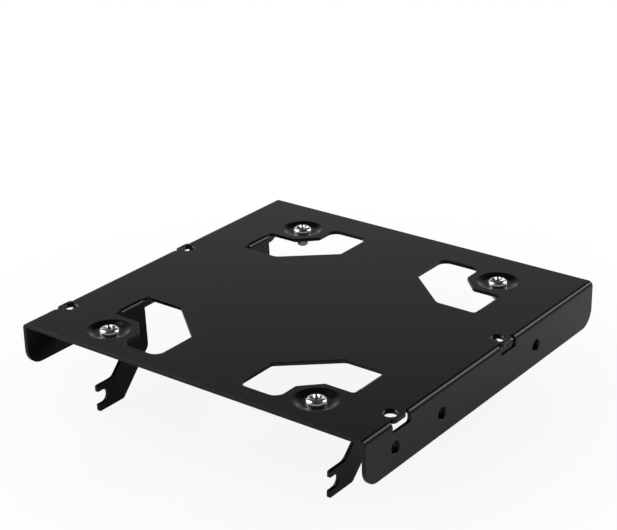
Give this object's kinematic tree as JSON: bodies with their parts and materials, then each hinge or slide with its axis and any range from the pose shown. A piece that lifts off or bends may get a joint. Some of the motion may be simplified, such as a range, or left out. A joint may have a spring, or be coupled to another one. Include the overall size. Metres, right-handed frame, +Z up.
{
  "type": "drive bay adapter bracket",
  "caption": "Folded sheet steel bracket that carries a 2.5 inch drive in a 3.5 inch bay, with side flanges, dimples and forked arms.",
  "frame": {"origin": "middle of the base, on the plane that the four arms' tips stand on", "axes": "+Z up, +X to the right, -Y the front"},
  "size_m": [0.1012, 0.0996, 0.0234],
  "materials": {
    "bracket": "matt black powder coat",
    "screws": "bright zinc plate"
  },
  "bodies": {
    "root": {"bracket": "bracket", "mounting_screw_front_left": "screws", "mounting_screw_front_right": "screws", "mounting_screw_back_left": "screws", "mounting_screw_back_right": "screws"}
  },
  "joints": []
}
